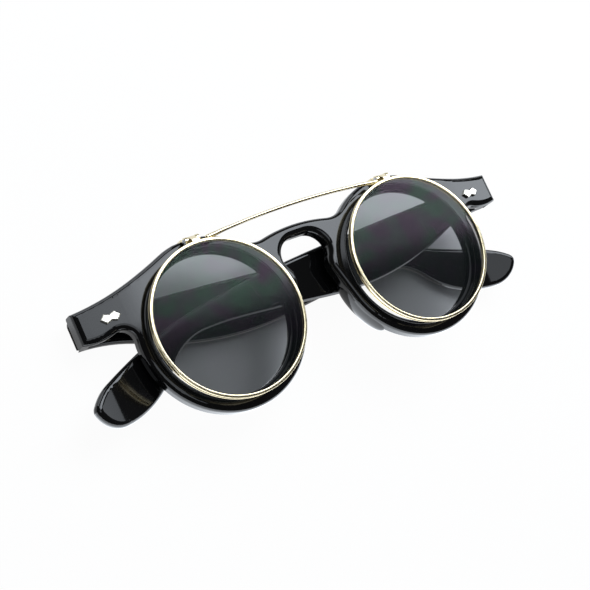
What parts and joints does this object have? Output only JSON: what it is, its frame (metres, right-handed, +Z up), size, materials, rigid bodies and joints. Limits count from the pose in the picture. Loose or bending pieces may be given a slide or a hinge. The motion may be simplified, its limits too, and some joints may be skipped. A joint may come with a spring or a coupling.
{
  "type": "flip up sunglasses",
  "caption": "Folded round-lens spectacles with a keyhole bridge, swept endpieces, hinged temples and a hinged metal pair of smoke lenses that flips up over clear ones.",
  "frame": {"origin": "middle of the object's footprint, on the plane that the folded right temple lies on", "axes": "+X to the wearer's left along the width, +Y to the brow, +Z up, out of the front of the glasses"},
  "size_m": [0.156, 0.0504, 0.0276],
  "materials": {
    "black_plastic": "polished black acetate",
    "clear_lens": "clear polished plastic",
    "smoke_lens": "smoke grey polished plastic",
    "pale_gold": "polished pale gold",
    "plaque_metal": "polished pale silver gold",
    "steel": "turned and stamped metal"
  },
  "bodies": {
    "front": {"base_lens_left": "clear_lens", "base_lens_right": "clear_lens", "flip_base_left": "pale_gold", "flip_base_right": "pale_gold", "flip_base_screws_left": "steel", "flip_base_screws_right": "steel", "flip_pin_left": "steel", "flip_pin_right": "steel", "front_frame": "black_plastic", "front_hinge_leaf_left": "steel", "front_hinge_leaf_right": "steel", "hinge_screw_left": "steel", "hinge_screw_right": "steel", "plaque_left": "plaque_metal", "plaque_right": "plaque_metal"},
    "temple_right": {"temple_hinge_leaf_right": "steel", "temple_right": "black_plastic", "temple_rivets_right": "steel"},
    "temple_left": {"temple_hinge_leaf_left": "steel", "temple_left": "black_plastic", "temple_rivets_left": "steel"},
    "flip_up": {"flip_bridge_bar": "pale_gold", "flip_knuckle_left": "pale_gold", "flip_knuckle_right": "pale_gold", "flip_lens_left": "smoke_lens", "flip_lens_right": "smoke_lens", "flip_rim_left": "pale_gold", "flip_rim_right": "pale_gold"}
  },
  "joints": [
    {"name": "temple_right_fold", "type": "hinge", "parent": "front", "child": "temple_right", "pos_m": [-0.06878, 0.0108, 0.0018], "axis": [0, 1, 0], "range_deg": [0, 84.6]},
    {"name": "temple_left_fold", "type": "hinge", "parent": "front", "child": "temple_left", "pos_m": [0.069, 0.0108, 0.01482], "axis": [0, -1, 0], "range_deg": [-0.1, 0.15]},
    {"name": "flip_up_turn", "type": "hinge", "parent": "front", "child": "flip_up", "pos_m": [-0.00094, 0.0239, 0.01936], "axis": [-0.9956, 0, -0.0941], "range_deg": [0, 95]}
  ]
}
